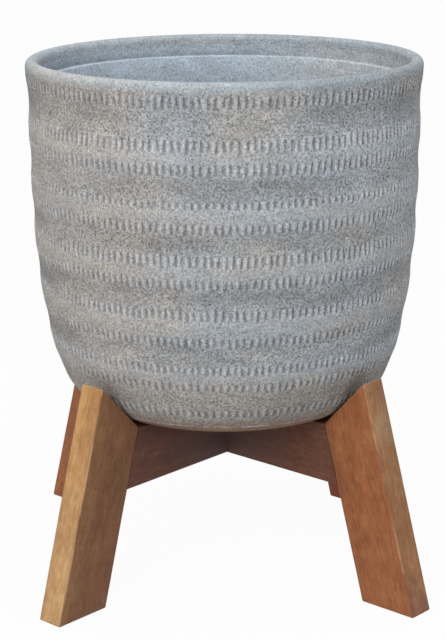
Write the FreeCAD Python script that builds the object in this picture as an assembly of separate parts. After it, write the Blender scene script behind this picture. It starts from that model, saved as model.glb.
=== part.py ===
import FreeCAD, Part
import math
import os

os.makedirs("parts", exist_ok=True)

# Driving sizes, lengths in millimetres and angles in degrees.
# The floor is at height zero, the pot's axis is the Z axis and the front is -Y.

# Timber boards of the stand
board_width = 58.0
board_thickness = 28.0
arris_rounding = 1.5

# Stand
rail_underside_height = 110.5
leg_top_height = 217.5
leg_splay_angle = 16.1
# Gap between the pot's wall and the outer top edge of a leg
leg_top_gap = 18.0
# Side play of the halved joint where the rails cross
lap_clearance = 0.1

# Glued loose tenons between the rails and the legs
tenon_width = 34.0
tenon_thickness = 8.0
tenon_length = 40.0
tenon_clearance = 0.1
tenon_end_gap = 1.0

# Pot, outside
pot_height = 336.0
rim_radius = 190.0
lip_thickness = 12.8
neck_inset = 2.4
neck_drop = 36.5
wall_taper = 3.0
bowl_inset = 35.5
heel_inset = 23.3
# The powers say how suddenly the wall turns in: gently for the bowl, sharply for the heel
bowl_power = 4
heel_power = 30
inside_bowl_power = 2
inside_heel_power = 16

# Raised bands round the wall, each a crest between two combed rows
band_count = 5
band_relief = 1.3
band_half_width = 19.2
bands_top_drop = 41.5
bands_base_height = 38.0

# Combed rows: one on each flank of every band, one above the heel and one below the lip.
# The solid has each row as a groove of the notches' mean depth, the notches themselves are carving.
comb_row_width = 11.0
comb_row_spread = 10.5
comb_groove_depth = 0.8
heel_row_height = 26.7
neck_row_drop = 18.1

# Pot, inside
wall_thickness = 14.0
floor_thickness = 16.0
# Above this height over the floor the inside is straight
inside_bowl_height = 200.0
inside_bowl_inset = 29.0
inside_heel_inset = 20.0
ledge_drop = 21.5

# Drain hole and its rubber plug
drain_hole_diameter = 20.0
plug_clearance = 0.3
plug_head_diameter = 32.0
plug_head_thickness = 4.0
plug_end_recess = 2.0
plug_grip_length = 18.0
plug_grip_thickness = 5.0
plug_grip_height = 7.0

# Length by which every cutting tool passes through the surface that it cuts
overrun = 1.0

full_turn = 360.0
half_turn = full_turn / 2
quarter_turn = full_turn / 4
# The legs stand on the diagonals
first_leg_angle = quarter_turn / 2

# Number of straight steps that follow the curves worked out by formula
heel_step_count = 3
lip_step_count = 4
inside_step_count = 3

# Heights and radii that follow from the driving sizes
rail_top_height = rail_underside_height + board_width
pot_base_height = rail_top_height
rim_top_height = pot_base_height + pot_height
lip_centre_height = rim_top_height - lip_thickness / 2
lip_centre_radius = rim_radius - lip_thickness / 2
neck_radius = rim_radius - neck_inset
neck_height = rim_top_height - neck_drop
bands_top_height = rim_top_height - bands_top_drop
bands_bottom_height = pot_base_height + bands_base_height
band_pitch = (bands_top_height - bands_bottom_height) / band_count
floor_height = pot_base_height + floor_thickness
ledge_height = rim_top_height - ledge_drop
opening_radius = rim_radius - lip_thickness

lap_height = (rail_underside_height + rail_top_height) / 2

splay = math.radians(leg_splay_angle)
leg_level_width = board_width / math.cos(splay)

origin = FreeCAD.Vector(0, 0, 0)
upward = FreeCAD.Vector(0, 0, 1)


# Shape of the pot

def wall_inset(height):
    """How far the outside has drawn in at a height."""
    depth_share = (lip_centre_height - height) / (lip_centre_height - pot_base_height)
    taper = wall_taper * depth_share
    bowl = bowl_inset * depth_share ** bowl_power
    heel = heel_inset * depth_share ** heel_power
    return taper + bowl + heel


def lip_flare(height):
    """How far the wall swells out again between the neck and the lip."""
    share = max(0.0, (height - neck_height) / (lip_centre_height - neck_height))
    ease = share * share * (3 - 2 * share)
    return neck_inset * ease


def outer_radius(height):
    """Radius of the outside of the pot at a height, without the raised bands."""
    return neck_radius - wall_inset(height) + lip_flare(height)


def inner_radius(height):
    """Radius of the inside of the pot at a height below the ledge."""
    depth_share = max(0.0, 1 - (height - floor_height) / inside_bowl_height)
    bowl = inside_bowl_inset * depth_share ** inside_bowl_power
    heel = inside_heel_inset * depth_share ** inside_heel_power
    return neck_radius - wall_thickness - bowl - heel


def even_steps(start, end, count):
    """Values after each of the equal steps from start to end."""
    return [start + (end - start) * (index + 1) / count for index in range(count)]


def easing_steps(start, end, count):
    """Values after each of the steps from start to end, the first steps the shortest."""
    return [start + (end - start) * share * share for share in even_steps(0, 1, count)]


def section_point(radius, height):
    """Point of an outline drawn in the plane of one leg."""
    return FreeCAD.Vector(radius, 0, height)


def straight_edges(points):
    """Straight edges that join the points in turn."""
    return [Part.makeLine(start, end) for start, end in zip(points, points[1:])]


def turned_solid(outline):
    """Solid that a closed outline sweeps in a full turn about the Z axis."""
    face = Part.Face(Part.Wire(straight_edges(outline + outline[:1])))
    return face.revolve(origin, upward, full_turn)


def wall_points(radius_at, heights):
    """Points of a wall at some heights, its radius given by a formula."""
    return [section_point(radius_at(height), height) for height in heights]


def row_points(centre_height):
    """Corners of a combed row on the plain wall: its lower end, its deepest line, its upper end."""
    corners = []
    for rise, depth in ((-comb_row_width / 2, 0), (0, comb_groove_depth), (comb_row_width / 2, 0)):
        height = centre_height + rise
        corners.append(section_point(outer_radius(height) - depth, height))
    return corners


def band_points(centre_height):
    """Corners of one raised band: its lower foot, a combed row, the crest, a row, its upper foot."""
    flank_relief = band_relief * (1 - comb_row_spread / band_half_width)
    row_relief = flank_relief - comb_groove_depth
    corners = []
    for rise, relief in (
        (-band_half_width, 0),
        (-comb_row_spread, row_relief),
        (0, band_relief),
        (comb_row_spread, row_relief),
        (band_half_width, 0),
    ):
        height = centre_height + rise
        corners.append(section_point(outer_radius(height) + relief, height))
    return corners


def lip_points():
    """Half-round lip, from the outside of the wall over the top to the inside."""
    points = []
    for angle in even_steps(0, math.pi, lip_step_count):
        radius = lip_centre_radius + lip_thickness / 2 * math.cos(angle)
        height = lip_centre_height + lip_thickness / 2 * math.sin(angle)
        points.append(section_point(radius, height))
    return points


def outside_points():
    """Outside of the pot, from the base up over its combed rows and raised bands to the lip."""
    heel_row = row_points(pot_base_height + heel_row_height)
    neck_row = row_points(rim_top_height - neck_row_drop)
    bands = []
    for band in range(band_count):
        bands += band_points(bands_bottom_height + band_pitch * (band + 0.5))
    heel_heights = [pot_base_height]
    heel_heights += easing_steps(pot_base_height, heel_row[0].z, heel_step_count)
    heel = wall_points(outer_radius, heel_heights)
    lip_start = wall_points(outer_radius, [lip_centre_height])
    return heel[:-1] + heel_row + bands + neck_row + lip_start


def inside_points():
    """Inside of the pot, from the ledge below the opening down to the floor."""
    heights = [floor_height]
    heights += easing_steps(floor_height, floor_height + inside_bowl_height, inside_step_count)
    heights.append(ledge_height)
    heights.reverse()
    ledge_corner = section_point(opening_radius, ledge_height)
    return [ledge_corner] + wall_points(inner_radius, heights)


def make_pot():
    """Thick-walled pot with a half-round lip, an inner ledge and a drain hole."""
    hole_radius = drain_hole_diameter / 2
    outline = outside_points() + lip_points() + inside_points()
    outline.append(section_point(hole_radius, floor_height))
    outline.append(section_point(hole_radius, pot_base_height))
    return turned_solid(outline)


def make_drain_plug():
    """Rubber plug: a flat grip, a head that rests on the pot's floor and a shank in the hole."""
    shank_radius = drain_hole_diameter / 2 - plug_clearance
    head_radius = plug_head_diameter / 2
    end_height = pot_base_height + plug_end_recess
    head_top_height = floor_height + plug_head_thickness
    outline = [
        section_point(0, end_height),
        section_point(shank_radius, end_height),
        section_point(shank_radius, floor_height),
        section_point(head_radius, floor_height),
        section_point(head_radius, head_top_height),
        section_point(0, head_top_height),
    ]
    grip_height = plug_head_thickness + plug_grip_height
    corner = FreeCAD.Vector(-plug_grip_length / 2, -plug_grip_thickness / 2, floor_height)
    grip = Part.makeBox(plug_grip_length, plug_grip_thickness, grip_height, corner)
    return turned_solid(outline).fuse(grip).removeSplitter()


# Stand

def leg_outer_radius(height):
    """Radius of a leg's outer face at a height."""
    top_radius = outer_radius(leg_top_height) + leg_top_gap
    return top_radius + (leg_top_height - height) * math.tan(splay)


def leg_inner_radius(height):
    """Radius of a leg's inner face at a height."""
    return leg_outer_radius(height) - leg_level_width


def board_from_outline(outline):
    """Board of the common thickness, its outline drawn in the plane of one leg."""
    corners = [section_point(radius, height) for radius, height in outline]
    half = FreeCAD.Vector(0, board_thickness / 2, 0)
    face = Part.Face(Part.makePolygon([corner - half for corner in corners + corners[:1]]))
    return face.extrude(half * 2)


def joint_point(along_face, across_board, into_rail):
    """Point near a joint, from the middle of the leg's inner face beside the rail."""
    middle = section_point(leg_inner_radius(lap_height), lap_height)
    upward_along_face = FreeCAD.Vector(-math.sin(splay), 0, math.cos(splay))
    inward = FreeCAD.Vector(-math.cos(splay), 0, -math.sin(splay))
    sideways = FreeCAD.Vector(0, across_board, 0)
    return middle + upward_along_face * along_face + sideways + inward * into_rail


def joint_block(width, thickness, length):
    """Block across the joint of a leg and its rail, centred on the joint."""
    half_width = width / 2
    half_thickness = thickness / 2
    corners = [
        joint_point(-half_width, -half_thickness, -length / 2),
        joint_point(half_width, -half_thickness, -length / 2),
        joint_point(half_width, half_thickness, -length / 2),
        joint_point(-half_width, half_thickness, -length / 2),
    ]
    direction = joint_point(0, 0, length) - joint_point(0, 0, 0)
    return Part.Face(Part.makePolygon(corners + corners[:1])).extrude(direction)


def joint_mortise():
    """Blind slot for the tenon of one leg, cut in the leg and in its rail."""
    width = tenon_width + 2 * tenon_clearance
    thickness = tenon_thickness + 2 * tenon_clearance
    return joint_block(width, thickness, tenon_length + 2 * tenon_end_gap)


def make_tenon():
    """The loose tenon of one leg."""
    return joint_block(tenon_width, tenon_thickness, tenon_length)


def make_leg():
    """Splayed leg, level at the foot, its top cut slanting down to the top of the rail."""
    outline = [
        (leg_outer_radius(0), 0),
        (leg_outer_radius(leg_top_height), leg_top_height),
        (leg_inner_radius(rail_top_height), rail_top_height),
        (leg_inner_radius(0), 0),
    ]
    leg = board_from_outline(outline)
    leg = leg.makeFillet(arris_rounding, long_edges(leg))
    return leg.cut(joint_mortise())


def long_edges(board):
    """Edges of a leg or a rail that run along it."""
    return [edge for edge in board.Edges if edge.Length > 2 * board_width]


def make_plain_rail():
    """Rail between two opposite legs, its ends sloped to meet their inner faces."""
    outline = [
        (leg_inner_radius(rail_underside_height), rail_underside_height),
        (leg_inner_radius(rail_top_height), rail_top_height),
        (-leg_inner_radius(rail_top_height), rail_top_height),
        (-leg_inner_radius(rail_underside_height), rail_underside_height),
    ]
    rail = board_from_outline(outline)
    rail = rail.makeFillet(arris_rounding, long_edges(rail))
    mortise = joint_mortise()
    return rail.cut([mortise, turned_about_axis(mortise, half_turn)])


def lap_notch(bottom_height, top_height):
    """Block that cuts the notch of the halved joint."""
    width = board_thickness + 2 * lap_clearance
    depth = board_thickness + 2 * overrun
    corner = FreeCAD.Vector(-width / 2, -depth / 2, bottom_height)
    return Part.makeBox(width, depth, top_height - bottom_height, corner)


def make_rail_lower():
    """Rail with its notch open at the top."""
    return make_plain_rail().cut(lap_notch(lap_height, rail_top_height + overrun))


def make_rail_upper():
    """Rail with its notch open at the bottom."""
    return make_plain_rail().cut(lap_notch(rail_underside_height - overrun, lap_height))


def turned_about_axis(shape, angle):
    """Copy of a shape turned about the pot's axis."""
    turned = shape.copy()
    turned.rotate(origin, upward, angle)
    return turned


# Legs in the order of their places round the pot, a quarter turn apart
leg_names = ["leg_back_right", "leg_back_left", "leg_front_left", "leg_front_right"]

nodes = {
    "pot": make_pot(),
    "drain_plug": make_drain_plug(),
    "rail_lower": turned_about_axis(make_rail_lower(), first_leg_angle),
    "rail_upper": turned_about_axis(make_rail_upper(), first_leg_angle + quarter_turn),
}

tenons = []
for index, name in enumerate(leg_names):
    angle = first_leg_angle + index * quarter_turn
    nodes[name] = turned_about_axis(make_leg(), angle)
    tenons.append(turned_about_axis(make_tenon(), angle))
nodes["loose_tenons"] = Part.makeCompound(tenons)

for name, shape in nodes.items():
    shape.exportStep("parts/" + name + ".step")
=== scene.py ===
import math
import random

import bpy
from mathutils import Euler, Matrix, Vector, noise


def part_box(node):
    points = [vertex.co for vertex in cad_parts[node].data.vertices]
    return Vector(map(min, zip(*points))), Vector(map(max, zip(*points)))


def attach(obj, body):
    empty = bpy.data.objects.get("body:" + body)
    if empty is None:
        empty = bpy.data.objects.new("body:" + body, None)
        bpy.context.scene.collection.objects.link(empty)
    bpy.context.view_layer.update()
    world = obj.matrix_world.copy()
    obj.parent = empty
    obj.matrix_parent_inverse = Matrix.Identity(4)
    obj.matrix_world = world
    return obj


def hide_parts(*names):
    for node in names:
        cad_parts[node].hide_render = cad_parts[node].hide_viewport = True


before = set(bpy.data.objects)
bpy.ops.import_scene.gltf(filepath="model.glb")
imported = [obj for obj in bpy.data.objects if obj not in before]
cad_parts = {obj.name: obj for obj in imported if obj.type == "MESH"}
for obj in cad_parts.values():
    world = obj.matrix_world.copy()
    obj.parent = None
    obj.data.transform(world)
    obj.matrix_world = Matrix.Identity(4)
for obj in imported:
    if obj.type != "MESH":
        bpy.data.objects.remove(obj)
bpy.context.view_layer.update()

# Lengths are in metres, the unit of the frame, and mm lets them be written in millimetres
mm = 0.001
full_turn = 2 * math.pi
quarter_turn = full_turn / 4

# Camera: fitted to the stand and the rim in the photograph, with angles in radians
camera_distance = 1747.1 * mm
camera_height = 722.4 * mm
camera_side_turn = 0.0512
camera_pitch_down = 0.2680
camera_pan = 0.0017
camera_roll = -0.005
camera_lens = 102.64
camera_reach = 100

# Pot, the same profile as the solid's, with soft bands
pot_low, pot_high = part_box("pot")
base_height = pot_low[2]
rim_height = pot_high[2]
rim_radius = pot_high[0]
lip_thickness = 12.8 * mm
neck_inset = 2.4 * mm
neck_drop = 36.5 * mm
wall_taper = 3.0 * mm
bowl_inset = 35.5 * mm
heel_inset = 23.3 * mm
bowl_power = 4
heel_power = 30
band_count = 5
band_relief = 1.3 * mm
bands_drop = 41.5 * mm
bands_rise = 38.0 * mm
bands_top = rim_height - bands_drop
bands_bottom = base_height + bands_rise
lip_radius = lip_thickness / 2
lip_height = rim_height - lip_radius
lip_centre = rim_radius - lip_radius
neck_radius = rim_radius - neck_inset
opening_radius = rim_radius - lip_thickness
ledge_drop = 21.5 * mm
ledge_height = rim_height - ledge_drop
ledge_rounding = 1.5 * mm
wall_thickness = 14.0 * mm
floor_thickness = 16.0 * mm
floor_height = base_height + floor_thickness
inside_bowl_height = 200.0 * mm
inside_bowl_inset = 29.0 * mm
inside_heel_inset = 20.0 * mm
inside_bowl_power = 2
inside_heel_power = 16
drain_radius = 10.0 * mm
wobble_height = 0.45 * mm
wobble_waves = 3

# Combed rows from the bottom up: lower and upper end above the ground in millimetres, and how
# many notches
comb_rows = [
    (190.1, 200.4, 142),
    (218.7, 228.8, 156),
    (236.0, 246.2, 168),
    (263.7, 273.9, 168),
    (288.9, 300.1, 176),
    (318.6, 329.5, 176),
    (338.5, 351.5, 176),
    (368.8, 380.3, 176),
    (391.7, 399.9, 176),
    (421.2, 433.5, 176),
    (441.7, 455.0, 176),
    (480.0, 492.7, 176),
]

# Notches of the combed rows, and how much they differ from each other
notch_depth = 1.5 * mm
notch_end_length = 2.4 * mm
notch_end_spread = 0.7 * mm
notch_tilt = 0.1
notch_shift_share = 0.09
notch_half_width_share = 0.215
notch_width_shares = (0.9, 1.2)
notch_foot_width_share = 1.25
notch_tip_width_share = 0.5
notch_reach_share = 0.42
notch_depth_shares = (0.5, 1.2)
usual_depth_share = 0.92
depth_spread_share = 0.13
land_rise = 0.25 * mm

# Section of a notch: place as a share of its half width, and share of its depth
notch_section_shares = [(-1, 0.05), (-0.5, 0.75), (0, 1), (0.5, 0.75), (1, 0.05)]

# Rings and columns of the pot's mesh
row_ring_shares = [-0.1, 0.04, 0.18, 0.36, 0.64, 0.82, 0.96, 1.1]
opening_ring_shares = [0.25, 0.5, 0.75, 0.95]
floor_ring_shares = [0.2, 0.4, 0.6, 0.8, 0.95]
base_ring_shares = [0.3, 0.6, 0.9]
ledge_bend_share = 0.7
plain_ring_spacing = 5.0 * mm
smooth_columns = 264
base_columns = 213
heel_rings = 9
lip_rings = 12
inside_rings = 26

# Values that the pot's mesh keeps at its points for the cement
pot_values = ("groove", "land", "crest", "lip", "inside", "dirt")
ledge_lip = 0.8
# Painted shade inside the pot, and how far down the wall below the ledge it grows
deep_dirt = 0.35
deep_dirt_depth = 40.0 * mm

# Legs, the same boards as the solids, with rounded arrises that are worn and carry painted shade and
# a painted highlight
leg_lean = math.radians(16.1)
board_thickness = 28.0 * mm
arris_radius = 1.5 * mm
leg_bottom_outside = 247.0 * mm
leg_bottom_inside = 186.6 * mm
leg_top_outside = 217.5 * mm
leg_top_inside = 168.5 * mm
leg_bottom_width = leg_bottom_outside - leg_bottom_inside
smallest_radius = 0.05 * mm
arris_points = 4
flat_parts = 4
leg_parts = 40
board_wobble = 0.3 * mm
board_wobble_waves = 2.5
board_wobble_stretch = 4

# How much wear, painted shade and painted highlight the arrises round the two ends of a leg take,
# where 1 is as much as the long ones
end_arris = 0.35


# Shape of the pot

def smooth_step(low, high, value):
    """Eases from 0 at low to 1 at high."""
    share = min(1.0, max(0.0, (value - low) / (high - low)))
    return share * share * (3 - 2 * share)


def band_share(height):
    """1 on the crest of a raised band and 0 in the hollow between two."""
    if height <= bands_bottom or height >= bands_top:
        return 0.0
    share = (height - bands_bottom) / (bands_top - bands_bottom)
    return (1 - math.cos(full_turn * band_count * share)) / 2


def outer_radius(height):
    """Radius of the outside of the pot at a height."""
    depth_share = (lip_height - height) / (lip_height - base_height)
    inset = wall_taper * depth_share
    inset += bowl_inset * depth_share ** bowl_power
    inset += heel_inset * depth_share ** heel_power
    flare = neck_inset * smooth_step(rim_height - neck_drop, lip_height, height)
    return neck_radius - inset + band_relief * band_share(height) + flare


def inner_radius(height):
    """Radius of the inside of the pot at a height from the ledge down."""
    depth_share = max(0.0, 1 - (height - floor_height) / inside_bowl_height)
    inset = inside_bowl_inset * depth_share ** inside_bowl_power
    inset += inside_heel_inset * depth_share ** inside_heel_power
    return neck_radius - wall_thickness - inset


def hand_wobble(angle, height):
    """Small unevenness of a hand-made wall, never outwards of the true shape."""
    place = Vector((math.cos(angle), math.sin(angle), height / (2 * rim_radius))) * wobble_waves
    return wobble_height * (noise.noise(place) - 1) / 2


class Turned:
    """Mesh made of closed rings of points, with a few values kept at every point."""

    def __init__(self):
        self.points = []
        self.faces = []
        self.values = {name: [] for name in pot_values}
        self.first = None
        self.last = None

    def add_ring(self, ring, **same):
        """Adds a ring, given as (angle, radius, height, groove, land) for each of its points."""
        count = len(self.points)
        for angle, radius, height, groove, land in ring:
            self.points.append((radius * math.cos(angle), radius * math.sin(angle), height))
            kept = dict(same, groove=groove, land=land)
            for name in pot_values:
                self.values[name].append(kept.get(name, 0.0))
        current = [(count + index, point[0]) for index, point in enumerate(ring)]
        if self.last:
            self.join(self.last, current)
        else:
            self.first = current
        self.last = current

    def close(self):
        """Joins the last ring to the first."""
        self.join(self.last, self.first)

    def join(self, lower, upper):
        """Faces between two rings, also where one has more points than the other."""
        if len(lower) == len(upper):
            self.join_alike(lower, upper)
            return
        below = lower + [(lower[0][0], lower[0][1] + full_turn)]
        above = upper + [(upper[0][0], upper[0][1] + full_turn)]
        low = high = 0
        while low < len(lower) or high < len(upper):
            climb = low == len(lower)
            if not climb and high < len(upper):
                climb = above[high + 1][1] < below[low + 1][1]
            if climb:
                self.faces.append((below[low][0], above[high + 1][0], above[high][0]))
                high += 1
            else:
                self.faces.append((below[low][0], below[low + 1][0], above[high][0]))
                low += 1

    def join_alike(self, lower, upper):
        """Faces between two rings that have as many points as each other."""
        count = len(lower)
        for index in range(count):
            after = (index + 1) % count
            corners = (lower[index], lower[after], upper[after], upper[index])
            self.faces.append(tuple(corner[0] for corner in corners))


def angle_before(notches, index):
    """Direction of the notch before one, a full turn back before the first."""
    return notches[index - 1]["angle"] - (full_turn if index == 0 else 0)


def make_notches(row_number, low, high, count):
    """The notches of one combed row, each a little different, as a hand tool leaves them."""
    chance = random.Random(row_number)
    pitch = full_turn / count
    start = chance.uniform(0, pitch)
    least_depth, most_depth = notch_depth_shares
    notches = []
    for index in range(count):
        shift = chance.uniform(-notch_shift_share, notch_shift_share)
        half_width = pitch * notch_half_width_share * chance.uniform(*notch_width_shares)
        depth = chance.gauss(usual_depth_share, depth_spread_share)
        notches.append({
            "angle": start + (index + shift) * pitch,
            "half_width": half_width,
            "depth": min(most_depth, max(least_depth, depth)),
            "tilt": chance.uniform(-notch_tilt, notch_tilt),
            "low": low + chance.gauss(0, notch_end_spread),
            "high": high + chance.gauss(0, notch_end_spread),
        })
    for index, notch in enumerate(notches):
        after = notches[(index + 1) % count]["angle"] + (full_turn if index == count - 1 else 0)
        gap = min(notch["angle"] - angle_before(notches, index), after - notch["angle"])
        widest = notch_reach_share * gap / notch_foot_width_share
        notch["half_width"] = min(notch["half_width"], widest)
    return notches


def notch_ring(notches, middle_height, height):
    """Points of one ring through a combed row: one on each land and a few across each notch."""
    points = []
    radius = outer_radius(height)
    for index, notch in enumerate(notches):
        rise = smooth_step(notch["low"], notch["low"] + notch_end_length, height)
        fall = 1 - smooth_step(notch["high"] - notch_end_length, notch["high"], height)
        strength = rise * fall
        climb = smooth_step(notch["low"], notch["high"], height)
        taper = notch_foot_width_share + (notch_tip_width_share - notch_foot_width_share) * climb
        lean = notch["tilt"] * (height - middle_height) / radius
        land_angle = (angle_before(notches, index) + notch["angle"]) / 2
        points.append((land_angle + lean / 2, radius + land_rise * strength, 0.0, strength))
        for place_share, depth_share in notch_section_shares:
            angle = notch["angle"] + place_share * taper * notch["half_width"] + lean
            groove = strength * depth_share * notch["depth"]
            points.append((angle, radius - notch_depth * groove, groove, 0.0))
    return [(angle, distance + hand_wobble(angle, height), height, groove, land)
            for angle, distance, groove, land in points]


def comb_row(number, low, high, count):
    """Rings of points through one combed row, from its foot to its top."""
    notches = make_notches(number, low, high, count)
    middle = (low + high) / 2
    return [notch_ring(notches, middle, low + (high - low) * share) for share in row_ring_shares]


def plain_ring(angles, radius, height):
    """Points of a ring without notches."""
    return [(angle, radius + hand_wobble(angle, height), height, 0.0, 0.0) for angle in angles]


def true_ring(angles, radius, height):
    """Points of a ring without notches or unevenness."""
    return [(angle, radius, height, 0.0, 0.0) for angle in angles]


def even_angles(count):
    """Directions of the points of an even ring."""
    return [full_turn * index / count for index in range(count)]


def ring_angles(ring):
    """Directions of the points of a ring."""
    return [point[0] for point in ring]


def ring_height(ring):
    """Height of a ring."""
    return ring[0][2]


def add_heel(pot, row_ring):
    """Rings from the base up to the first ring of the lowest combed row, closest at the base."""
    rise = ring_height(row_ring) - base_height
    for index in range(heel_rings):
        height = base_height + rise * (index / heel_rings) ** 2
        angles = even_angles(base_columns) if index == 0 else ring_angles(row_ring)
        pot.add_ring(plain_ring(angles, outer_radius(height), height))


def add_plain_zone(pot, low_ring, high_ring):
    """Rings between two combed rows, their points leading from those of one row to the other's."""
    low, high = ring_height(low_ring), ring_height(high_ring)
    count = max(1, round((high - low) / plain_ring_spacing))
    for index in range(1, count):
        share = index / count
        height = low + (high - low) * share
        if len(low_ring) == len(high_ring):
            pairs = zip(ring_angles(low_ring), ring_angles(high_ring))
            angles = [below + (above - below) * share for below, above in pairs]
        else:
            angles = ring_angles(low_ring if share < 0.5 else high_ring)
        pot.add_ring(plain_ring(angles, outer_radius(height), height), crest=band_share(height))


def add_outside(pot):
    """The outside of the pot from the heel to the neck, with its combed rows."""
    rows = [comb_row(number, low * mm, high * mm, count)
            for number, (low, high, count) in enumerate(comb_rows)]
    add_heel(pot, rows[0][0])
    for number, rings in enumerate(rows):
        if number > 0:
            add_plain_zone(pot, rows[number - 1][-1], rings[0])
        for ring in rings:
            pot.add_ring(ring, crest=band_share(ring_height(ring)))


def add_lip(pot, angles):
    """The half-round lip, from the outside to the inside."""
    for index in range(lip_rings + 1):
        turn = math.pi * index / lip_rings
        radius = lip_centre + lip_radius * math.cos(turn)
        height = lip_height + lip_radius * math.sin(turn)
        pot.add_ring(plain_ring(angles, radius, height), lip=1.0)


def add_ledge(pot, angles):
    """The opening below the lip, and the ledge with its rounded edge."""
    for share in opening_ring_shares:
        height = lip_height + (ledge_height - lip_height) * share
        ring = plain_ring(angles, opening_radius, height)
        # The wall above the ledge takes painted shade, growing towards its corner
        pot.add_ring(ring, lip=1 - share, inside=min(1.0, 2 * share), dirt=share ** 2)
    edge_radius = inner_radius(ledge_height) + ledge_rounding
    bend_radius = edge_radius - ledge_rounding * ledge_bend_share
    bend_height = ledge_height - ledge_rounding * (1 - ledge_bend_share)
    corners = [
        (opening_radius, ledge_height, 1.0),
        (edge_radius, ledge_height, 0.0),
        (bend_radius, bend_height, 0.0),
    ]
    # Painted shade full in the corner above the ledge and none on its rounded edge
    for radius, height, dirt in corners:
        pot.add_ring(plain_ring(angles, radius, height), lip=ledge_lip, inside=1.0, dirt=dirt)


def add_inside(pot, angles):
    """The wall below the ledge, the floor and the drain hole."""
    wall_top = ledge_height - ledge_rounding
    for index in range(inside_rings + 1):
        share = index / inside_rings
        height = wall_top + (floor_height - wall_top) * (1 - (1 - share) ** 2)
        # Painted shade growing deeper down the inside wall
        dirt = deep_dirt * smooth_step(0.0, deep_dirt_depth, wall_top - height)
        pot.add_ring(plain_ring(angles, inner_radius(height), height), inside=1.0, dirt=dirt)
    floor_edge = inner_radius(floor_height)
    for share in floor_ring_shares:
        radius = floor_edge + (drain_radius - floor_edge) * share
        pot.add_ring(plain_ring(angles, radius, floor_height), inside=1.0)
    for height in (floor_height, base_height):
        pot.add_ring(true_ring(angles, drain_radius, height), inside=1.0)


def add_base(pot, angles):
    """The flat underside, from the drain hole outwards."""
    base_edge = outer_radius(base_height)
    for share in base_ring_shares:
        radius = drain_radius + (base_edge - drain_radius) * share
        pot.add_ring(true_ring(angles, radius, base_height))


def make_pot():
    """The whole pot as one closed mesh."""
    pot = Turned()
    smooth_angles = even_angles(smooth_columns)
    add_outside(pot)
    add_lip(pot, smooth_angles)
    add_ledge(pot, smooth_angles)
    add_inside(pot, smooth_angles)
    add_base(pot, even_angles(base_columns))
    pot.close()
    return new_object("combed_pot", mesh_with_values("combed_pot", pot.points, pot.faces, pot.values))


# Shape of the legs

def arris_arc(edge, side, outward, inset):
    """Points over one rounded arris, from the narrow face to the broad one."""
    half = board_thickness / 2 - inset
    radius = max(arris_radius - inset, smallest_radius)
    reach = radius / leg_bottom_width
    arc = []
    for index in range(arris_points):
        share = index / (arris_points - 1)
        turn = share * quarter_turn
        across = edge - outward * reach * (1 - math.cos(turn))
        along = side * (half - radius * (1 - math.sin(turn)))
        outer = 1 - share if outward > 0 else 0.0
        arc.append((across, along, math.sin(2 * turn), outer))
    return arc


def board_section(inset):
    """Points round a leg: share across its width, place in its thickness, arris, outer face."""
    half = board_thickness / 2 - inset
    margin = inset / leg_bottom_width
    outer_edge = (1 - margin, 1)
    inner_edge = (margin, -1)
    flat_shares = [index / flat_parts for index in range(1, flat_parts)]
    points = []
    for side, first_edge, last_edge in ((1, outer_edge, inner_edge), (-1, inner_edge, outer_edge)):
        start, start_outward = first_edge
        end, end_outward = last_edge
        outer = 1.0 if end_outward > 0 else 0.0
        points += arris_arc(start, side, start_outward, inset)
        points += [(start + (end - start) * share, side * half, 0.0, 0.0) for share in flat_shares]
        points += reversed(arris_arc(end, side, end_outward, inset))
        points += [(end, side * half * (1 - 2 * share), 0.0, outer) for share in flat_shares]
    return points


def leg_stations():
    """Places along a leg, as an inset from its faces and a share of its height."""
    ends = []
    for index in range(arris_points):
        turn = quarter_turn * index / (arris_points - 1)
        inset = arris_radius * (1 - math.sin(turn))
        ends.append((inset, arris_radius * (1 - math.cos(turn)) / leg_top_inside))
    first = ends[-1][1]
    middle = [(0.0, first + (1 - 2 * first) * index / leg_parts) for index in range(1, leg_parts)]
    return ends + middle + [(inset, 1 - share) for inset, share in reversed(ends)]


def leg_point(across, along, share, direction):
    """A point of a leg in the frame, its broad faces a little uneven."""
    height = share * (leg_top_inside + (leg_top_outside - leg_top_inside) * across)
    radius = leg_bottom_inside + leg_bottom_width * across - height * math.tan(leg_lean)
    place = Vector((across, along / board_thickness, board_wobble_stretch * share + direction))
    pull = board_wobble * (noise.noise(place * board_wobble_waves) + 1) / board_thickness
    point = Vector((radius, along * (1 - pull), height))
    point.rotate(Euler((0, 0, direction)))
    return point


def make_leg(name, direction):
    """A leg as a lofted board, level at the foot and cut slanting at the top."""
    points, faces = [], []
    values = {"arris": [], "outer": [], "across": []}
    for inset, share in leg_stations():
        section = board_section(inset)
        for across, along, arris, outer in section:
            points.append(leg_point(across, along, share, direction))
            values["arris"].append(end_arris if inset > 0 else arris)
            values["outer"].append(outer)
            values["across"].append(across)
    count = len(section)
    for start in range(0, len(points) - count, count):
        for index in range(count):
            after = (index + 1) % count
            faces.append((start + index, start + after, start + count + after, start + count + index))
    faces.append(tuple(reversed(range(count))))
    faces.append(tuple(range(len(points) - count, len(points))))
    return new_object(name, mesh_with_values(name, points, faces, values))


def board_direction(index):
    """Direction of a leg or rail, halfway between the axes."""
    return quarter_turn * (index + 0.5)


def mesh_with_values(name, points, faces, values):
    """Smooth mesh that keeps named values at its points."""
    mesh = bpy.data.meshes.new(name)
    mesh.from_pydata(points, [], faces)
    for key, numbers in values.items():
        mesh.attributes.new(key, "FLOAT", "POINT").data.foreach_set("value", numbers)
    mesh.shade_smooth()
    return mesh


def new_object(name, data):
    """Object that shows a mesh, or is a lamp or a camera."""
    thing = bpy.data.objects.new(name, data)
    bpy.context.scene.collection.objects.link(thing)
    return thing


# Materials

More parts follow.
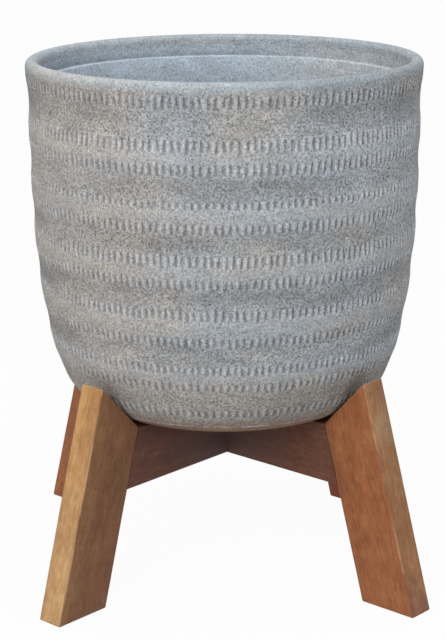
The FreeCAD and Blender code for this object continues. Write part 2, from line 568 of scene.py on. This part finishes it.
class Shader:
    """A new material and short ways to add nodes to it."""

    def __init__(self, name):
        self.material = bpy.data.materials.new(name)
        self.material.use_nodes = True
        self.nodes = self.material.node_tree.nodes
        self.links = self.material.node_tree.links
        self.surface = self.nodes["Principled BSDF"]
        self.place = self.nodes.new("ShaderNodeTexCoord").outputs["Object"]

    def put(self, socket, value):
        """Sets an input to a number or colour, or links it to another node's output."""
        if isinstance(value, bpy.types.NodeSocket):
            self.links.new(value, socket)
        else:
            socket.default_value = value

    def node(self, kind, **inputs):
        """A node with some of its inputs set or linked, their names written with underscores."""
        node = self.nodes.new("ShaderNode" + kind)
        for name, value in inputs.items():
            self.put(node.inputs[name.replace("_", " ")], value)
        return node

    def attribute(self, name):
        """A value that the mesh keeps at its points."""
        node = self.node("Attribute")
        node.attribute_name = name
        return node.outputs["Fac"]

    def mapped(self, scale=(1, 1, 1), rotation=(0, 0, 0), source=None):
        """Places stretched and turned."""
        node = self.node("Mapping", Vector=source or self.place, Scale=scale, Rotation=rotation)
        return node.outputs["Vector"]

    def noise(self, scale, detail=2.0, roughness=0.5, place=None, bend=0.0):
        """Cloudy noise, between 0 and 1."""
        node = self.node("TexNoise", Vector=place or self.place, Scale=scale, Detail=detail,
                         Roughness=roughness, Distortion=bend)
        return node.outputs["Fac"]

    def cells(self, scale):
        """Distance to the middle of the nearest cell."""
        return self.node("TexVoronoi", Vector=self.place, Scale=scale).outputs["Distance"]

    def spread(self, value, low, high, new_low=0.0, new_high=1.0):
        """Moves values between low and high to new ones, held at the ends."""
        node = self.node("MapRange", Value=value, From_Min=low, From_Max=high, To_Min=new_low,
                         To_Max=new_high)
        return node.outputs["Result"]

    def fade(self, value, low, high, strength=1.0):
        """A strength up to low, fading to 0 at high."""
        return self.spread(value, low, high, strength, 0.0)

    def math(self, operation, first, second=0.0):
        """One sum of two values."""
        node = self.node("Math")
        node.operation = operation
        self.put(node.inputs[0], first)
        self.put(node.inputs[1], second)
        return node.outputs["Value"]

    def plus(self, first, second):
        """Two values added up."""
        return self.math("ADD", first, second)

    def times(self, first, second):
        """Two values multiplied."""
        return self.math("MULTIPLY", first, second)

    def larger(self, first, second):
        """The larger of two values."""
        return self.math("MAXIMUM", first, second)

    def distance(self, place):
        """Distance to a place in the object."""
        node = self.node("VectorMath")
        node.operation = "DISTANCE"
        self.put(node.inputs[0], self.place)
        self.put(node.inputs[1], place)
        return node.outputs["Value"]

    def along_axis(self, axis):
        """Place along one axis of the object."""
        return self.node("SeparateXYZ", Vector=self.place).outputs[axis]

    def near_height(self, height, reach):
        """1 at a height in the object, fading out over a length above and below it."""
        away = self.math("ABSOLUTE", self.math("SUBTRACT", self.along_axis("Z"), height))
        return self.fade(away, 0.0, reach)

    def mix(self, share, first, second, how="MIX"):
        """Two colours mixed, on the node's inputs 6 and 7 and output 2, which are for colours."""
        node = self.node("Mix")
        node.data_type = "RGBA"
        node.blend_type = how
        for socket, value in ((0, share), (6, first), (7, second)):
            self.put(node.inputs[socket], value)
        return node.outputs[2]

    def shade(self, colour, value):
        """A colour made lighter or darker by a value around 1."""
        node = self.node("VectorMath")
        node.operation = "SCALE"
        self.put(node.inputs["Vector"], colour)
        self.put(node.inputs["Scale"], value)
        return node.outputs["Vector"]

    def bump(self, height, strength, distance, under=None):
        """Small relief in the surface."""
        node = self.node("Bump", Height=height, Strength=strength, Distance=distance)
        if under:
            self.put(node.inputs["Normal"], under)
        return node.outputs["Normal"]

    def finish(self, colour, roughness, normal, **sockets):
        """Links the surface and returns the material."""
        self.put(self.surface.inputs["Base Color"], colour)
        self.put(self.surface.inputs["Roughness"], roughness)
        self.put(self.surface.inputs["Normal"], normal)
        for name, value in sockets.items():
            self.surface.inputs[name.replace("_", " ")].default_value = value
        return self.material


# Noise lies mostly between these values, and fine noise is cut off a little closer
noise_range = (0.3, 0.7)
fine_range = (0.32, 0.68)

# How far from its middle a patch keeps its full strength
patch_core_share = 0.3


def add_patches(shader, colour, patch_list, uneven, uneven_share, strength):
    """Mixes patches, each a place, radius and colour, into a colour, with uneven edges."""
    for place, radius, patch_colour in patch_list:
        shift = radius * uneven_share
        away = shader.plus(shader.distance(place), shader.spread(uneven, *noise_range, -shift, shift))
        share = shader.fade(away, radius * patch_core_share, radius, strength)
        colour = shader.mix(share, colour, patch_colour)
    return colour


# Cement: noises, each with its scale, detail and roughness
cloud_noise = (9.0, 3.0, 0.55)
ochre_noise = (13.0, 2.0, 0.5)
brush_noise = (7.0, 3.0, 0.55)
speckle_noise = (45.0, 4.0, 0.62)
sand_noise = (520.0, 3.0, 0.8)
pit_scale = 240.0
cloud_stretch = (1, 1, 2.2)
brush_stretch = (1, 1, 3.5)

# Cement: colours
cool_ground = (0.322, 0.352, 0.384, 1)
warm_ground = (0.380, 0.360, 0.339, 1)
ochre = (0.36, 0.35, 0.29, 1)
hollow_grey = (0.215, 0.215, 0.215, 1)
# Warm painted shade low on the pot, darker at the right
foot_shade = (0.350, 0.328, 0.300, 1)
deep_foot_shade = (0.290, 0.270, 0.242, 1)
# Painted brown reflection of the timber, with painted shade, at the foot of the pot
heel_reflection = (0.250, 0.125, 0.050, 1)
lip_blue = (0.370, 0.415, 0.450, 1)
# Painted shade on the lip at the front right, and painted light, also warmer, on the lip at the front
# left
shaded_lip = (0.285, 0.330, 0.365, 1)
lit_front_lip = (0.445, 0.457, 0.455, 1)
back_lip = (0.430, 0.490, 0.540, 1)
inside_blue = (0.455, 0.545, 0.625, 1)
inside_grey = (0.500, 0.530, 0.555, 1)
groove_grey = (0.125, 0.128, 0.135, 1)
land_grey = (0.53, 0.56, 0.60, 1)
scratch_grey = (0.55, 0.57, 0.58, 1)
cool_grey = (0.315, 0.356, 0.400, 1)
warm_grey = (0.385, 0.367, 0.342, 1)
pale_grey = (0.425, 0.412, 0.395, 1)
pale_blue = (0.405, 0.428, 0.455, 1)
pale_warm = (0.450, 0.420, 0.385, 1)

# Cement: where its tones, its painted light and its painted shade change, from left to right
warm_side = (-150.0 * mm, 70.0 * mm)
right_edge = (90.0 * mm, 185.0 * mm)
foot_shade_side = (-20.0 * mm, 50.0 * mm)
lip_side = (-170.0 * mm, -60.0 * mm)
inside_side = (20.0 * mm, 120.0 * mm)
crisp_side = (60.0 * mm, 170.0 * mm)

# Cement: how many times as strong the notches show at the far right
most_crisp = 1.5

# Cement: where its tones, its painted light and its painted shade change, from front to back, and
# above the base
lip_front = (-90.0 * mm, 10.0 * mm)
lip_back = (-20.0 * mm, 50.0 * mm)
# Middle and reach of the painted shade on the lip at the front right
lip_shade_place = (125.0 * mm, -140.0 * mm, rim_height)
lip_shade_range = (60.0 * mm, 110.0 * mm)
# How far up the painted shade low on the pot and the painted reflection at its foot reach
foot_shade_height = 68.0 * mm
reflection_height = 26.0 * mm

# Cement: thin pale scratches round the pot, as height and half width
scratches = [(454.8 * mm, 0.9 * mm), (179.5 * mm, 1.6 * mm)]

# Cement: large patches of the finish, as place, radius and colour
tinted_patches = [
    ((-67.0 * mm, -174.0 * mm, 464.0 * mm), 60.0 * mm, cool_grey),
    ((20.0 * mm, -185.0 * mm, 457.0 * mm), 62.0 * mm, warm_grey),
    ((46.0 * mm, -180.0 * mm, 398.0 * mm), 75.0 * mm, cool_grey),
    ((135.0 * mm, -128.0 * mm, 466.0 * mm), 66.0 * mm, cool_grey),
    ((-21.0 * mm, -184.0 * mm, 294.0 * mm), 48.0 * mm, cool_grey),
]
pale_patches = [
    ((-84.0 * mm, -166.0 * mm, 424.0 * mm), 46.0 * mm, pale_grey),
    ((-122.0 * mm, -136.0 * mm, 262.0 * mm), 60.0 * mm, pale_grey),
    ((150.0 * mm, -110.0 * mm, 400.0 * mm), 85.0 * mm, pale_blue),
    ((118.0 * mm, -142.0 * mm, 456.0 * mm), 50.0 * mm, pale_blue),
    ((-160.0 * mm, -100.0 * mm, 472.0 * mm), 74.0 * mm, pale_warm),
]
patch_uneven_share = 0.3
tinted_strength = 0.6
pale_strength = 0.4


def cement_ground(shader, flat_place, clouds, sideways):
    """Cool grey, warmer at the left and at the right edge, with a little ochre."""
    left_drift = 0.19
    right_drift = 0.22
    ochre_range = (0.58, 0.74)
    ochre_strength = 0.35
    drift = shader.spread(sideways, *warm_side, left_drift, -left_drift)
    drift = shader.plus(drift, shader.spread(sideways, *right_edge, 0.0, right_drift))
    warmth = shader.spread(shader.plus(clouds, drift), *noise_range)
    colour = shader.mix(warmth, cool_ground, warm_ground)
    share = shader.spread(shader.noise(*ochre_noise, flat_place), *ochre_range, 0.0, ochre_strength)
    return shader.mix(share, colour, ochre)


def darken_hollows(shader, colour, crest):
    """Dark brushed colour in the hollows between the bands."""
    brush_range = (0.44, 0.60)
    crest_range = (0.1, 0.7)
    strength = 0.6
    brushed = shader.noise(*brush_noise, shader.mapped(scale=brush_stretch))
    hollow = shader.fade(crest, *crest_range, strength)
    share = shader.times(hollow, shader.spread(brushed, *brush_range))
    return shader.mix(share, colour, hollow_grey)


def paint_foot_shade(shader, colour, sideways):
    """Warm painted shade low on the pot, darker at the right."""
    full_from = 0.25
    strength = 0.75
    near_base = shader.near_height(base_height, foot_shade_height)
    foot_shade_colour = shader.mix(shader.spread(sideways, *foot_shade_side), foot_shade, deep_foot_shade)
    return shader.mix(shader.spread(near_base, 0.0, full_from, 0.0, strength), colour, foot_shade_colour)


def paint_heel_reflection(shader, colour):
    """Painted brown reflection of the timber, with painted shade, at the very bottom next to the
    timber.
    """
    power = 1.5
    share = shader.math("POWER", shader.near_height(base_height, reflection_height), power)
    return shader.mix(share, colour, heel_reflection)


def colour_lip(shader, colour, lip, sideways):
    """Bluish lip, paler at the left, with painted light at the front left and painted shade at the
    front right.
    """
    strength = 0.8
    depth = shader.along_axis("Y")
    # Painted shade at the front right
    lip_shade_share = shader.fade(shader.distance(lip_shade_place), *lip_shade_range)
    lip_colour = shader.mix(lip_shade_share, lip_blue, shaded_lip)
    left = shader.fade(sideways, *lip_side)
    # Painted light at the front left, warmer and paler
    lip_colour = shader.mix(shader.times(left, shader.fade(depth, *lip_front)), lip_colour, lit_front_lip)
    lip_colour = shader.mix(shader.times(left, shader.spread(depth, *lip_back)), lip_colour, back_lip)
    return shader.mix(shader.times(lip, strength), colour, lip_colour)


def colour_inside(shader, colour, inside, sideways):
    """Pale blue inside, greyer at the right, with painted shade in the corner above the ledge and
    down the wall below it, weaker at the right where the light falls.
    """
    strength = 0.85
    right_dirt = 0.3
    dirt_tone = 0.6
    right = shader.spread(sideways, *inside_side)
    inside_colour = shader.mix(right, inside_blue, inside_grey)
    colour = shader.mix(shader.times(inside, strength), colour, inside_colour)
    # Painted shade, weaker at the right where the light falls on the inside wall
    dirt = shader.times(shader.attribute("dirt"), shader.spread(right, 0.0, 1.0, 1.0, right_dirt))
    return shader.shade(colour, shader.spread(dirt, 0.0, 1.0, 1.0, dirt_tone))


def colour_notches(shader, colour, groove, land, crisp):
    """Dark notches with pale lands between them."""
    groove_range = (0.15, 0.7)
    land_range = (0.2, 0.9)
    groove_strength = 0.47
    land_strength = 0.54
    groove_share = shader.times(shader.spread(groove, *groove_range, 0.0, groove_strength), crisp)
    colour = shader.mix(groove_share, colour, groove_grey)
    land_share = shader.times(shader.spread(land, *land_range, 0.0, land_strength), crisp)
    return shader.mix(land_share, colour, land_grey)


def add_speckles(shader, colour, speckles, crest):
    """Cloudy speckles, lighter on the crests, and the scratches."""
    crest_wear = 0.2
    worn_range = (0.3, 0.85)
    worn_tones = (0.80, 1.16)
    scratch_range = (0.4, 0.6)
    strength = 0.8
    worn = shader.plus(shader.times(crest, crest_wear), speckles)
    colour = shader.shade(colour, shader.spread(worn, *worn_range, *worn_tones))
    for height, half_width in scratches:
        broken = shader.spread(speckles, *scratch_range)
        line = shader.times(shader.near_height(height, half_width), broken)
        colour = shader.mix(shader.times(line, strength), colour, scratch_grey)
    return colour


def calm_share(shader, crest, groove, land, lip, inside):
    """How much of the grain shows: all in the hollows, and less where the cement is smooth."""
    crest_calm = 0.6
    combed_calm = 0.9
    least_grain = 0.56
    combed = shader.larger(groove, land)
    smooth = shader.larger(shader.times(crest, crest_calm), shader.times(combed, combed_calm))
    smooth = shader.larger(smooth, shader.larger(lip, inside))
    return shader.spread(smooth, 0.0, 1.0, 1.0, least_grain)


def add_grains(shader, colour, sand, pits, calm, crisp):
    """Grains of sand and small pits."""
    sand_swing = 0.68
    crisp_sand = 1.25
    pit_range = (0.08, 0.32)
    pit_strength = 0.35
    swing = shader.times(shader.spread(sand, *fine_range, -sand_swing, sand_swing), calm)
    swing = shader.times(swing, shader.spread(crisp, 1.0, most_crisp, 1.0, crisp_sand))
    colour = shader.shade(colour, shader.plus(swing, 1.0))
    pit_depth = shader.times(shader.fade(pits, *pit_range, pit_strength), calm)
    return shader.shade(colour, shader.math("SUBTRACT", 1.0, pit_depth))


def cement_material():
    """Grey cement: pale where it stands out, dark and grainy where it lies back."""
    shader = Shader("speckled_cement")
    groove = shader.attribute("groove")
    land = shader.attribute("land")
    crest = shader.attribute("crest")
    lip = shader.attribute("lip")
    inside = shader.attribute("inside")
    sideways = shader.along_axis("X")
    flat_place = shader.mapped(scale=cloud_stretch)
    clouds = shader.noise(*cloud_noise, flat_place)
    speckles = shader.noise(*speckle_noise, flat_place)
    sand = shader.noise(*sand_noise)
    pits = shader.cells(pit_scale)
    crisp = shader.spread(sideways, *crisp_side, 1.0, most_crisp)
    calm = calm_share(shader, crest, groove, land, lip, inside)

    colour = cement_ground(shader, flat_place, clouds, sideways)
    colour = add_patches(shader, colour, tinted_patches, clouds, patch_uneven_share, tinted_strength)
    colour = darken_hollows(shader, colour, crest)
    colour = paint_foot_shade(shader, colour, sideways)
    colour = add_patches(shader, colour, pale_patches, clouds, patch_uneven_share, pale_strength)
    colour = paint_heel_reflection(shader, colour)
    colour = colour_lip(shader, colour, lip, sideways)
    colour = colour_inside(shader, colour, inside, sideways)
    colour = colour_notches(shader, colour, groove, land, crisp)
    colour = add_speckles(shader, colour, speckles, crest)
    colour = add_grains(shader, colour, sand, pits, calm, crisp)

    pit_edge = (0.05, 0.4)
    roughness_range = (0.82, 0.95)
    normal = shader.bump(shader.spread(pits, *pit_edge), strength=0.6, distance=0.5 * mm)
    normal = shader.bump(sand, strength=0.7, distance=0.6 * mm, under=normal)
    roughness = shader.spread(speckles, *noise_range, *roughness_range)
    return shader.finish(colour, roughness, normal, Specular_IOR_Level=0.25)


# Timber: its figure, with how much each kind changes the tone as its swing
timber_figure = {
    "streaks": {"noise": (190.0, 4.0, 0.6), "stretch": (1, 1, 0.06), "bend": 0.3, "swing": 0.10},
    "broad": {"noise": (30.0, 3.0, 0.5), "stretch": (1, 1, 0.06), "bend": 0.5, "swing": 0.15},
    "mottle": {"noise": (60.0, 4.0, 0.65), "stretch": (1, 1, 0.5), "bend": 0.0, "swing": 0.18},
    "ripple": {"noise": (90.0, 2.0, 0.5), "stretch": (0.3, 0.3, 1.4), "bend": 1.2, "swing": 0.05},
    "flecks": {"noise": (330.0, 3.0, 0.7), "stretch": (1, 1, 0.3), "bend": 0.0, "swing": 0.14},
}
pore_noise = (620.0, 2.0, 0.6)
pore_stretch = (1, 1, 0.07)
wear_noise = (16.0, 3.0, 0.6)

# Timber: colours
golden = (0.420, 0.245, 0.101, 1)
tan = (0.260, 0.136, 0.062, 1)
orange = (0.280, 0.112, 0.044, 1)
red = (0.270, 0.100, 0.045, 1)
shaded_red = (0.285, 0.095, 0.044, 1)
olive = (0.204, 0.112, 0.054, 1)
brown = (0.180, 0.088, 0.046, 1)
dark_red = (0.112, 0.053, 0.040, 1)
rail_red = (0.132, 0.058, 0.038, 1)
red_tint = (1.06, 0.84, 0.70, 1)
# Painted shade under the pot, round the crossing of the rails
shade_under_pot = (0.095, 0.078, 0.078, 1)
# Pale timber on the arrises, partly rubbed down and partly a painted highlight
bare_and_highlit_timber = (0.45, 0.29, 0.165, 1)

# Timber: marks on the outer faces of the front legs, as place, radius and colour
knot = ((127.0 * mm, -138.0 * mm, 206.0 * mm), 6.0 * mm, (0.14, 0.06, 0.04, 1))
pale_spot = ((140.0 * mm, -138.0 * mm, 176.0 * mm), 28.0 * mm, (0.34, 0.23, 0.14, 1))
pale_foot = ((-175.0 * mm, -175.0 * mm, 0.0), 190.0 * mm, (0.435, 0.292, 0.144, 1))
dark_foot = ((192.0 * mm, -160.0 * mm, 0.0), 64.0 * mm, (0.190, 0.096, 0.060, 1))
mark_uneven_share = 0.5
mark_strength = 0.9

# Timber: painted shade round the crossing of the rails, under the pot
crossing = (0, 0, 150.0 * mm)
crossing_range = (25.0 * mm, 105.0 * mm)


def board_colour(shader, colours, marks, mottle):
    """Colour of a board's sides, of its outer face with the marks, and towards its inner edge."""
    across_range = (0.15, 0.85)
    side_colour, outer_colour, inner_colour = colours
    across = shader.spread(shader.attribute("across"), *across_range)
    colour = shader.mix(shader.math("SUBTRACT", 1.0, across), side_colour, inner_colour)
    outer_colour = add_patches(shader, outer_colour, marks, mottle, mark_uneven_share, mark_strength)
    return shader.mix(shader.attribute("outer"), colour, outer_colour)


def add_figure(shader, colour, figure, pores):
    """Streaks, mottle, flecks and open pores, redder where they are dark."""
    red_range = (0.40, 0.62)
    red_strength = 0.55
    pore_range = (0.34, 0.46)
    pore_tone = 0.86
    for kind, settings in timber_figure.items():
        swing = settings["swing"]
        colour = shader.shade(colour, shader.spread(figure[kind], *fine_range, 1 - swing, 1 + swing))
    for kind in ("mottle", "flecks"):
        redness = shader.fade(figure[kind], *red_range, red_strength)
        colour = shader.mix(redness, colour, red_tint, "MULTIPLY")
    return shader.shade(colour, shader.spread(pores, *pore_range, pore_tone, 1.0))


def paint_crossing_shade(shader, colour):
    """Painted shade round the crossing of the rails, under the pot."""
    strength = 0.6
    share = shader.fade(shader.distance(crossing), *crossing_range, strength)
    return shader.mix(share, colour, shade_under_pot)


def wear_arrises(shader, colour, along):
    """Arrises darker as painted shade, and paler here and there, partly rubbed down to the bare
    timber and partly a painted highlight.
    """
    arris_tone = 0.78
    wear_range = (0.44, 0.54)
    strength = 0.75
    arris = shader.attribute("arris")
    # Painted shade along the arrises
    colour = shader.shade(colour, shader.spread(arris, 0.0, 1.0, 1.0, arris_tone))
    patchy = shader.spread(shader.noise(*wear_noise, along), *wear_range)
    return shader.mix(shader.times(shader.times(arris, patchy), strength), colour, bare_and_highlit_timber)


def timber_material(name, direction, lean, colours, marks=()):
    """Oiled brown hardwood, its grain along a board that leans in one direction."""
    shader = Shader(name)
    turned = shader.mapped(rotation=(0, 0, -direction))
    along = shader.mapped(rotation=(0, lean, 0), source=turned)
    figure = {}
    for kind, settings in timber_figure.items():
        place = shader.mapped(scale=settings["stretch"], source=along)
        figure[kind] = shader.noise(*settings["noise"], place, settings["bend"])
    pores = shader.noise(*pore_noise, shader.mapped(scale=pore_stretch, source=along))

    colour = board_colour(shader, colours, marks, figure["mottle"])
    colour = add_figure(shader, colour, figure, pores)
    colour = paint_crossing_shade(shader, colour)
    colour = wear_arrises(shader, colour, along)

    roughness_range = (0.5, 0.68)
    normal = shader.bump(pores, strength=0.25, distance=0.2 * mm)
    normal = shader.bump(figure["streaks"], strength=0.2, distance=0.3 * mm, under=normal)
    roughness = shader.spread(figure["mottle"], *noise_range, *roughness_range)
    return shader.finish(colour, roughness, normal, Specular_IOR_Level=0.3)


def rubber_material():
    """Matt black rubber with a little dust."""
    black = (0.02, 0.02, 0.02, 1)
    dusty = (0.09, 0.085, 0.08, 1)
    dust_noise = (160.0, 4.0, 0.6)
    dust_range = (0.45, 0.75)
    relief_scale = 900.0
    roughness_range = (0.6, 0.85)
    shader = Shader("plug_rubber")
    dust = shader.noise(*dust_noise)
    colour = shader.mix(shader.spread(dust, *dust_range), black, dusty)
    normal = shader.bump(shader.noise(relief_scale), strength=0.2, distance=0.1 * mm)
    return shader.finish(colour, shader.spread(dust, *noise_range, *roughness_range), normal)


# Studio: softboxes as name, place, size, strength and colour, with lengths in metres
softboxes = [
    ("key_softbox", (-0.82, -2.25, 2.0), 1.6, 42.0, (1.0, 0.97, 0.94)),
    ("top_softbox", (0.1, -0.5, 2.6), 1.4, 22.0, (0.98, 0.99, 1.0)),
]
softbox_aim = Vector((0, 0, 0.3))
ambient_strength = 0.62
ambient_colour = (0.975, 0.985, 1.0, 1)
floor_reach = 9.0
floor_colour = (0.60, 0.60, 0.60, 1)
floor_roughness = 0.9
floor_whiteness = 0.96
white = (1, 1, 1, 1)


def seen_directly(nodes, links):
    """1 for rays from the camera, a mirror or glass, 0 for light on the object."""
    path = nodes.new("ShaderNodeLightPath")
    seen = path.outputs["Is Camera Ray"]
    for name in ("Is Glossy Ray", "Is Transmission Ray"):
        larger = nodes.new("ShaderNodeMath")
        larger.operation = "MAXIMUM"
        links.new(seen, larger.inputs[0])
        links.new(path.outputs[name], larger.inputs[1])
        seen = larger.outputs[0]
    return seen


def show_mixed(nodes, links, share, lit, shown, output):
    """Mixes the shader that lights the object with the one that is seen."""
    mix = nodes.new("ShaderNodeMixShader")
    links.new(share, mix.inputs[0])
    links.new(lit.outputs[0], mix.inputs[1])
    links.new(shown.outputs[0], mix.inputs[2])
    links.new(mix.outputs[0], nodes[output].inputs["Surface"])


def floor_material():
    """White studio floor that still takes the object's shadow."""
    shader = Shader("studio_floor")
    nodes, links = shader.nodes, shader.links
    shader.surface.inputs["Base Color"].default_value = floor_colour
    shader.surface.inputs["Roughness"].default_value = floor_roughness
    shader.surface.inputs["Specular IOR Level"].default_value = 0.0
    glow = nodes.new("ShaderNodeEmission")
    share = shader.times(seen_directly(nodes, links), floor_whiteness)
    show_mixed(nodes, links, share, shader.surface, glow, "Material Output")
    return shader.material


def make_camera():
    """Camera at the photograph's viewing angle."""
    data = bpy.data.cameras.new("photo_camera")
    data.lens = camera_lens
    data.clip_end = camera_reach
    camera = new_object("photo_camera", data)
    camera.location = (
        -camera_distance * math.sin(camera_side_turn),
        -camera_distance * math.cos(camera_side_turn),
        camera_height,
    )
    aim = Euler((quarter_turn - camera_pitch_down, 0, camera_pan - camera_side_turn)).to_matrix()
    camera.rotation_euler = (aim @ Matrix.Rotation(camera_roll, 3, "Z")).to_euler()
    bpy.context.scene.camera = camera


def make_softbox(name, place, size, strength, colour):
    """Large soft lamp that points at the pot."""
    data = bpy.data.lights.new(name, "AREA")
    data.size = size
    data.energy = strength
    data.color = colour
    lamp = new_object(name, data)
    lamp.location = place
    aim = softbox_aim - Vector(place)
    lamp.rotation_euler = aim.to_track_quat("-Z", "Y").to_euler()


def make_world():
    """Even light from all round, and a white background."""
    world = bpy.data.worlds.new("studio_world")
    world.use_nodes = True
    nodes, links = world.node_tree.nodes, world.node_tree.links
    light = nodes["Background"]
    light.inputs["Strength"].default_value = ambient_strength
    light.inputs["Color"].default_value = ambient_colour
    shown = nodes.new("ShaderNodeBackground")
    shown.inputs["Strength"].default_value = 1.0
    shown.inputs["Color"].default_value = white
    show_mixed(nodes, links, seen_directly(nodes, links), light, shown, "World Output")
    bpy.context.scene.world = world


def make_floor():
    """Plain floor round the object."""
    mesh = bpy.data.meshes.new("studio_floor")
    corners = [(-1, -1), (1, -1), (1, 1), (-1, 1)]
    mesh.from_pydata([(x * floor_reach, y * floor_reach, 0) for x, y in corners], [], [(0, 1, 2, 3)])
    floor = new_object("studio_floor", mesh)
    mesh.materials.append(floor_material())


def dress(node, material):
    """Gives a carried-over solid its finished material."""
    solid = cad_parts[node]
    if not solid.material_slots:
        solid.data.materials.append(material)
    for slot in solid.material_slots:
        slot.material = material


# The whole scene

bpy.context.scene.view_settings.view_transform = "Standard"
make_camera()
make_world()
for softbox in softboxes:
    make_softbox(*softbox)
make_floor()

pot = make_pot()
pot.data.materials.append(cement_material())
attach(pot, "pot")
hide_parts("pot")

# Legs: name, colours of the sides, of the outer face and towards the inner edge, and marks
# These colours are partly the timber's own tones and partly painted light and shade: faces turned to
# the front left are painted lighter, faces turned to the front right darker
leg_finishes = [
    ("leg_back_right", (shaded_red, shaded_red, shaded_red), ()),
    ("leg_back_left", (orange, orange, red), ()),
    ("leg_front_left", (olive, golden, brown), (pale_foot,)),
    ("leg_front_right", (orange, tan, orange), (pale_spot, knot, dark_foot)),
]
for index, (name, colours, marks) in enumerate(leg_finishes):
    direction = board_direction(index)
    leg = make_leg("worn_" + name, direction)
    leg.data.materials.append(timber_material("timber_" + name, direction, leg_lean, colours, marks))
    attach(leg, "stand")
    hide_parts(name)

# The other pieces stay as they are, and the grain of the rails and tenons runs level
rail_colours = [("rail_lower", dark_red), ("rail_upper", rail_red)]
for index, (name, colour) in enumerate(rail_colours):
    dress(name, timber_material("timber_" + name, board_direction(index), quarter_turn, [colour] * 3))
dress("loose_tenons", timber_material("timber_loose_tenons", 0, quarter_turn, [golden] * 3))
dress("drain_plug", rubber_material())
